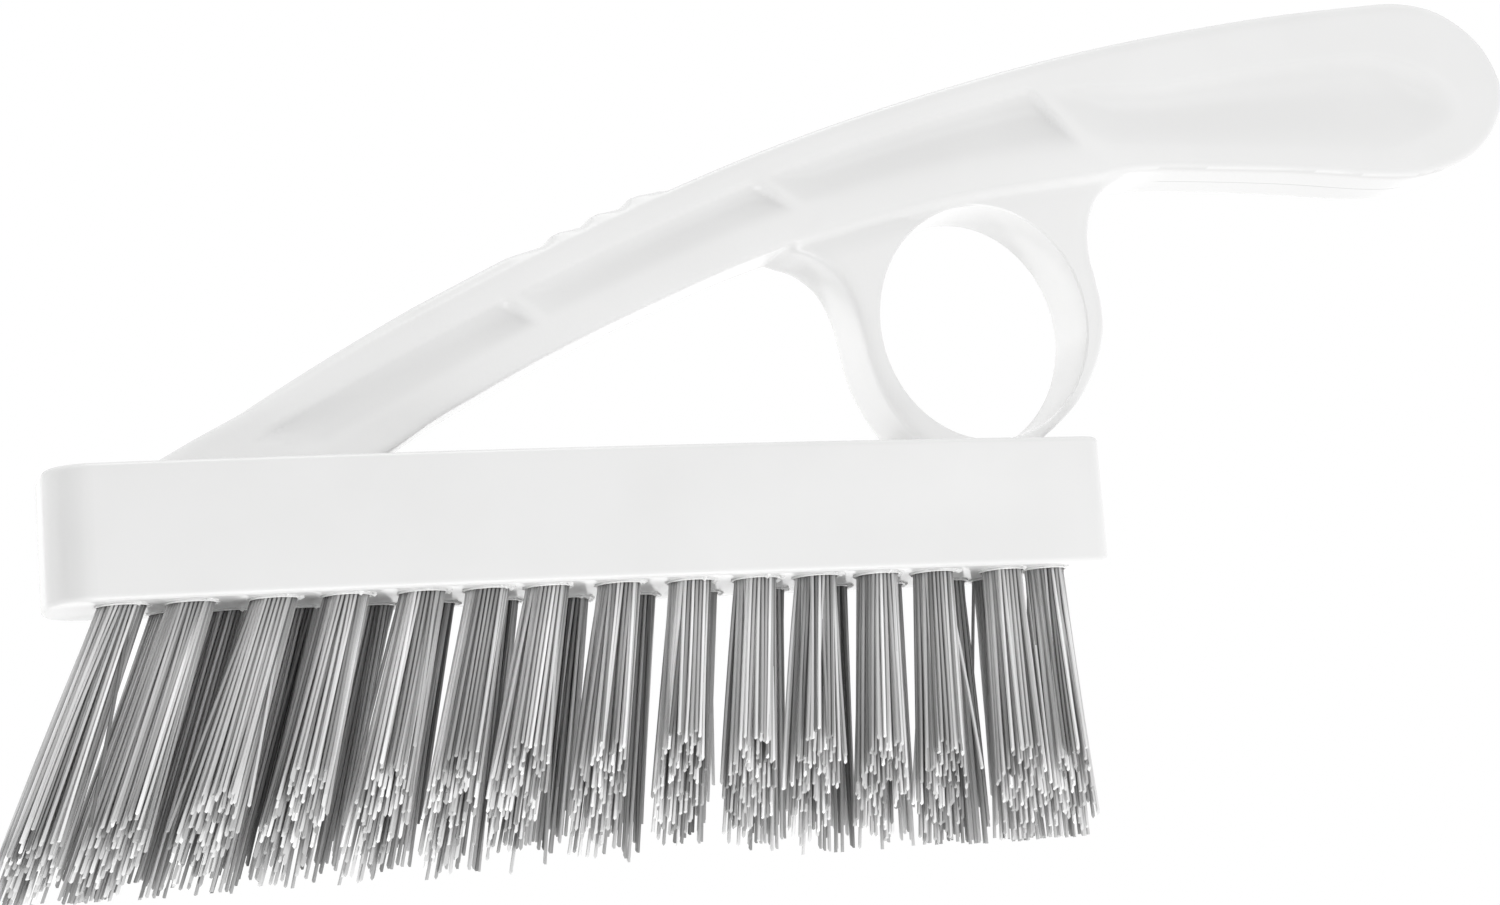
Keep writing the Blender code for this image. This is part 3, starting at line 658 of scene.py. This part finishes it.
# Painted light and shade: above zero the value greys the white plastic, below zero it lightens it.
painted_shading = ranged(tree, own_value(tree, "painted_light_and_shade"), -MOST_PAINTED, MOST_PAINTED, PAINTED_LIGHTEST, PAINTED_DARKEST)
brightness = {0: spotted, "Scale": multiplied(tree, painted_shading, seam_grey)}
toned = outputs_of(tree, "ShaderNodeVectorMath", brightness, operation="SCALE")["Vector"]
grain = outputs_of(tree, "ShaderNodeTexNoise", {"Vector": place, "Scale": GRAIN_SCALE})["Fac"]
height = added(tree, grain, parting)
relief = {"Strength": RELIEF_STRENGTH, "Distance": RELIEF_HEIGHT, "Height": height}
feed(tree, skin, {
    "Base Color": toned,
    "IOR": PLASTIC_REFRACTION,
    "Roughness": ranged(tree, clouds, 0, 1, *PLASTIC_ROUGHNESS),
    "Normal": outputs_of(tree, "ShaderNodeBump", relief)["Normal"],
})
piece_from(stock_mesh, "stock_moulding", [white_plastic], "stock", "stock")


# The tufts are bundles of grey nylon filament, folded over an anchor and driven into their holes. They spread
# from the hole, lean with it, and are trimmed to a ridge along the middle of the brush.
FILAMENT_RADIUS = 0.00026
FILAMENT_SIDES = 5
FILAMENT_STEPS = 6
FILAMENT_END = 0.01
FILAMENT_PITCH = 0.00055
FILAMENT_ROW_STEP = 0.866
JITTER = 0.05
FILAMENT_BEND = 0.0006
SCATTER, STRAY_SCATTER, STRAY_SHARE = 0.00035, 0.0015, 0.11
BUNDLE_RADIUS = 0.0028
BUNDLE_DRIFT = 0.0003
TIP_ALONG, TIP_ALONG_VARIES = 0.0041, (0.92, 1.08)
TIP_ACROSS, TIP_ACROSS_VARIES = 0.0045, (0.95, 1.05)
ROOT_SHARE = 0.08
RIDGE_WIDTH = 0.0040
TRIM_ANGLE = math.radians(63)
NOSE_TRIM_ANGLE = math.radians(45)
NOSE_TRIM_LENGTH = 0.035
TRIM_HALVINGS, TRIM_FAR_SHARE = 16, 1.05
TRIM_UNEVEN, TRIM_SLANTS = 0.012, (0.3, 1.0)
SHORTEST_SHARE = 0.1
NYLON_REFRACTION, NYLON_ROUGHNESS = 1.53, 0.22
OWN_GREYS = (-1.6, 1.6, 0.17, 1.0)
ROOT_PAINTED_SHADE = (0.12, 0.40, 0.62, 1.0)
TIP_GREYS = (0.5, 0.85, 1.0, 0.95)
WEAR_AND_PAINTED_LIGHT_HEIGHT, WEAR_AND_PAINTED_LIGHT_SHARE, WEAR_AND_PAINTED_LIGHT_GREY = 0.0080, 0.15, 0.95
CUT_ROUGHNESS = 0.6
CUT_GREYS = (-2, 2, 0.82, 0.98)
chance = random.Random(11)

straight = bmesh.new()
bmesh.ops.create_cone(
    straight,
    cap_ends=True,
    segments=FILAMENT_SIDES,
    radius1=FILAMENT_RADIUS,
    radius2=FILAMENT_RADIUS,
    depth=1,
)
lengthwise = [edge for edge in straight.edges if edge.calc_length() > 0.5]
bmesh.ops.subdivide_edges(straight, edges=lengthwise, cuts=FILAMENT_STEPS - 1, use_grid_fill=True)
for face in straight.faces:
    face.material_index = int(face.calc_center_median().z > 0.5 - FILAMENT_END)
filament = bpy.data.meshes.new("filament")
straight.to_mesh(filament)
straight.free()


def trim_height(place, trim):
    """How high the bristles were cut at a place across the brush."""
    return max(abs(place.y) - RIDGE_WIDTH / 2, 0) * math.tan(trim)


def share_left(along, trim):
    """How much of a filament's line the trim left, found by halving."""
    near, far = 0.0, TRIM_FAR_SHARE
    for _ in range(TRIM_HALVINGS):
        middle = (near + far) / 2
        spot = along(middle)
        if spot.z > trim_height(spot, trim):
            near = middle
        else:
            far = middle
    return near


def make_tuft(name, node, place, lean, materials):
    """All filaments of one tuft, from inside the hole to their cut tips."""
    from_nose = place.x - NOSE_X
    trim = NOSE_TRIM_ANGLE + (TRIM_ANGLE - NOSE_TRIM_ANGLE) * min(from_nose / NOSE_TRIM_LENGTH, 1)
    to_tip = UNDERSIDE_Z / math.cos(lean)
    turn = Matrix.Rotation(lean, 3, "Y")
    spread_along = TIP_ALONG * chance.uniform(*TIP_ALONG_VARIES)
    spread_across = TIP_ACROSS * chance.uniform(*TIP_ACROSS_VARIES)
    drift = Vector((chance.gauss(0, BUNDLE_DRIFT), chance.gauss(0, BUNDLE_DRIFT), 0))
    bm = bmesh.new()
    shade = bm.verts.layers.float.new("shade")
    depth = bm.verts.layers.float.new("from_root")
    rows = int(BUNDLE_RADIUS / FILAMENT_PITCH) + 1
    for row in range(-rows, rows + 1):
        for column in range(-rows, rows + 1):
            x = (column + 0.5 * (row % 2) + chance.uniform(-JITTER, JITTER)) * FILAMENT_PITCH
            y = (row * FILAMENT_ROW_STEP + chance.uniform(-JITTER, JITTER)) * FILAMENT_PITCH
            if math.hypot(x, y) > BUNDLE_RADIUS:
                continue
            grey = chance.gauss(0, 1)
            scatter = STRAY_SCATTER if chance.random() < STRAY_SHARE else SCATTER
            root = Vector((x, y, 0))
            tip = drift + Vector((
                x / BUNDLE_RADIUS * spread_along + chance.gauss(0, scatter),
                y / BUNDLE_RADIUS * spread_across + chance.gauss(0, scatter),
                -to_tip,
            ))
            bend = Vector((chance.gauss(0, FILAMENT_BEND), chance.gauss(0, FILAMENT_BEND), 0))

            def along(t):
                """A place on the filament's line, t from 0 at the underside to 1 at the tip plane."""
                run = root + (tip - root) * max(t, 0) - Vector((0, 0, to_tip)) * min(t, 0)
                return place + turn @ (run + bend * (t * t - t))

            cut = max(share_left(along, trim) - abs(chance.gauss(0, TRIM_UNEVEN)), SHORTEST_SHARE)
            slant = chance.uniform(*TRIM_SLANTS) * math.tan(trim)
            first = len(bm.verts)
            bm.from_mesh(filament)
            bm.verts.ensure_lookup_table()
            for corner in bm.verts[first:]:
                share = corner.co.z + 0.5
                shown_share = cut * (share * FILAMENT_STEPS - 1) / (FILAMENT_STEPS - 1)
                spot = along(-ROOT_SHARE if share < FILAMENT_END else shown_share)
                side = Vector((corner.co.x, corner.co.y, 0))
                if share > 1 - FILAMENT_END and abs(spot.y) > RIDGE_WIDTH / 2:
                    side.z = math.copysign(slant * side.y, spot.y * side.y)
                corner.co = spot + side
                corner.co.x = max(corner.co.x, cad_box[0][0])
                corner.co.y = min(max(corner.co.y, cad_box[0][1]), cad_box[1][1])
                corner.co.z = max(corner.co.z, 0)
                corner[shade] = grey
                corner[depth] = share
    bmesh.ops.recalc_face_normals(bm, faces=bm.faces)
    mesh = bpy.data.meshes.new(name)
    bm.to_mesh(mesh)
    bm.free()
    mesh.shade_smooth()
    mesh.set_sharp_from_angle(angle=SHARP_ANGLE)
    piece_from(mesh, name, materials, "filament", node)


def mixed(tree, share, first, second):
    """A number mixed from two others."""
    return outputs_of(tree, "ShaderNodeMix", {"Factor": share, "A": first, "B": second})["Result"]


def grey_colour(tree, grey):
    """A plain grey from one number."""
    channels = {"Red": grey, "Green": grey, "Blue": grey}
    return outputs_of(tree, "ShaderNodeCombineColor", channels)["Color"]


grey_nylon, tree, skin = new_material("filament_grey_nylon")
own_grey = ranged(tree, own_value(tree, "shade"), *OWN_GREYS)
# Painted shade: each filament is painted darker towards its root, under the block.
root_painted_shade = ranged(tree, own_value(tree, "from_root"), *ROOT_PAINTED_SHADE)
tip_grey = ranged(tree, own_value(tree, "from_root"), *TIP_GREYS)
clean = multiplied(tree, multiplied(tree, own_grey, root_painted_shade), tip_grey)
place = outputs_of(tree, "ShaderNodeTexCoord", {})["Object"]
height = outputs_of(tree, "ShaderNodeSeparateXYZ", {"Vector": place})["Z"]
# Near the tips each filament is mixed towards a pale grey, partly as wear and partly as painted light from
# below.
wear_and_painted_light = ranged(tree, height, WEAR_AND_PAINTED_LIGHT_HEIGHT, 0, 0, WEAR_AND_PAINTED_LIGHT_SHARE)
feed(tree, skin, {
    "Base Color": grey_colour(tree, mixed(tree, wear_and_painted_light, clean, WEAR_AND_PAINTED_LIGHT_GREY)),
    "IOR": NYLON_REFRACTION,
    "Roughness": NYLON_ROUGHNESS,
})

cut_nylon, tree, skin = new_material("filament_cut_end")
end_grey = ranged(tree, own_value(tree, "shade"), *CUT_GREYS)
feed(tree, skin, {"Base Color": grey_colour(tree, end_grey), "Roughness": CUT_ROUGHNESS})

for row_name, places in (("front", front_places), ("back", back_places)):
    for number, (place, lean) in enumerate(places):
        label = f"{row_name}_{number + 1:02d}"
        make_tuft(f"bristles_{label}", f"tuft_{label}", place, lean, [grey_nylon, cut_nylon])


# The anchors are flat pieces of steel wire across the fold of each tuft. They sit inside the block, and their
# cut wire has fine drawing lines along it.
STEEL = (0.62, 0.60, 0.56, 1)
STEEL_ROUGHNESS = (0.25, 0.5)
DRAWING_LINES = (9000, 300, 9000)

anchor_wire, tree, skin = new_material("anchor_drawn_steel")
place = outputs_of(tree, "ShaderNodeTexCoord", {})["Object"]
stretched = outputs_of(tree, "ShaderNodeMapping", {"Vector": place, "Scale": DRAWING_LINES})["Vector"]
lines = outputs_of(tree, "ShaderNodeTexNoise", {"Vector": stretched, "Scale": 1})["Fac"]
roughness = ranged(tree, lines, 0, 1, *STEEL_ROUGHNESS)
feed(tree, skin, {"Base Color": STEEL, "Metallic": 1, "Roughness": roughness})
for name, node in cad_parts.items():
    if name.startswith("anchor_"):
        node.data.materials.clear()
        node.data.materials.append(anchor_wire)


# The stage: a pale floor under the bristles that shows from above only, because the photograph was taken from
# just below them, a white studio, soft lamps, and the camera at the photograph's viewing angle.
FLOOR_SIZE = 6.0
FLOOR_COLOUR, FLOOR_ROUGHNESS = (0.74, 0.74, 0.74, 1), 0.8
WHITE = (1, 1, 1, 1)
FROM_RIGHT, FROM_LEFT, FROM_ABOVE = 0.55, -0.16, 0.12
IN_FRONT, FROM_BEHIND = 0.655, 1.08
BACKDROP_SEEN = (0.25, 0.35, 1.3, 0.8)
FRONT_SEEN = (-0.9, -0.3, 0.3, 1.5)
FRONT_TO_BACK = (-0.1, 0.1, 0, 1)
BRUSH_MIDDLE = (0, 0, 0.07)
SPOT_TARGET, SPOT_ANGLE, SPOT_SIZE = (0.045, 0, 0.085), math.radians(11), 0.1
SENSOR_WIDTH, LENS, NEAREST = 36, 79.2, 0.01
CAMERA_PLACE = Vector((-0.14883, -0.43583, -0.01912))
CAMERA_RIGHT = Vector((0.95216709, -0.29505057, -0.07951729))
CAMERA_UP = Vector((0.02642274, -0.17974908, 0.98335757))
CAMERA_FORWARD = Vector((0.30443337, 0.93842178, 0.16335512))

floor_mesh = bmesh.new()
bmesh.ops.create_grid(floor_mesh, x_segments=2, y_segments=2, size=FLOOR_SIZE / 2)
floor = draft(floor_mesh, "floor")
floor.visible_diffuse = False
floor.visible_glossy = False
floor.visible_shadow = False
paper, tree, skin = new_material("floor_paper")
feed(tree, skin, {"Base Color": FLOOR_COLOUR, "Roughness": FLOOR_ROUGHNESS})
from_below = outputs_of(tree, "ShaderNodeNewGeometry", {})["Backfacing"]
clear = outputs_of(tree, "ShaderNodeBsdfTransparent", {})["BSDF"]
one_sided = outputs_of(tree, "ShaderNodeMixShader", {"Fac": from_below, 1: skin.outputs["BSDF"], 2: clear})
feed(tree, tree.nodes["Material Output"], {"Surface": one_sided["Shader"]})
floor.data.materials.append(paper)

studio = bpy.data.worlds.new("studio")
studio.use_nodes = True
tree = studio.node_tree
ray = outputs_of(tree, "ShaderNodeLightPath", {})
toward = outputs_of(tree, "ShaderNodeTexCoord", {})["Generated"]
axes = outputs_of(tree, "ShaderNodeSeparateXYZ", {"Vector": toward})
from_right = ranged(tree, axes["X"], 0, 1, 0, FROM_RIGHT)
from_left = ranged(tree, axes["X"], -1, 0, FROM_LEFT, 0)
from_behind = ranged(tree, axes["Y"], 0, 1, IN_FRONT, FROM_BEHIND)
from_above = ranged(tree, axes["Z"], 0, 1, 0, FROM_ABOVE)
ambient = added(tree, added(tree, from_right, from_left), added(tree, from_behind, from_above))
seen_in_front = ranged(tree, axes["X"], *FRONT_SEEN)
seen_behind = ranged(tree, axes["Z"], *BACKDROP_SEEN)
gloss = mixed(tree, ranged(tree, axes["Y"], *FRONT_TO_BACK), seen_in_front, seen_behind)
lit = mixed(tree, ray["Is Glossy Ray"], ambient, gloss)
feed(tree, tree.nodes["Background"], {"Color": WHITE, "Strength": mixed(tree, ray["Is Camera Ray"], lit, 1)})
bpy.context.scene.world = studio
bpy.context.scene.view_settings.view_transform = "Standard"


def lamp(name, kind, place, target, power):
    """A lamp that faces a target."""
    light = bpy.data.lights.new(name, kind)
    light.energy = power
    holder = bpy.data.objects.new(name, light)
    holder.location = place
    holder.rotation_euler = (Vector(target) - Vector(place)).to_track_quat("-Z", "Y").to_euler()
    bpy.context.scene.collection.objects.link(holder)
    return holder


for name, place, target, power, size in (
    ("top_lamp", (0.0, -0.1, 1.0), BRUSH_MIDDLE, 1.5, 0.5),
    ("under_lamp", (0.1, -0.3, -1.0), BRUSH_MIDDLE, 5.0, 0.8),
    ("right_lamp", (0.30, -0.55, 0.20), (0.05, 0, 0.07), 0.09, 0.2),
):
    lamp(name, "AREA", place, target, power).data.size = size
for name, place, power in (
    ("left_lamp", (-0.80, -0.40, 0.125), 17),
    ("left_back_lamp", (-0.85, 0.32, 0.125), 14),
):
    spot = lamp(name, "SPOT", place, SPOT_TARGET, power)
    spot.data.spot_size = SPOT_ANGLE
    spot.data.spot_blend = 1
    spot.data.shadow_soft_size = SPOT_SIZE
    spot.visible_glossy = False

camera = bpy.data.objects.new("camera", bpy.data.cameras.new("camera"))
camera.data.sensor_width = SENSOR_WIDTH
camera.data.sensor_fit = "HORIZONTAL"
camera.data.lens = LENS
camera.data.clip_start = NEAREST
turned = Matrix((CAMERA_RIGHT, CAMERA_UP, -CAMERA_FORWARD)).transposed()
camera.matrix_world = Matrix.LocRotScale(CAMERA_PLACE, turned, None)
bpy.context.scene.collection.objects.link(camera)
bpy.context.scene.camera = camera
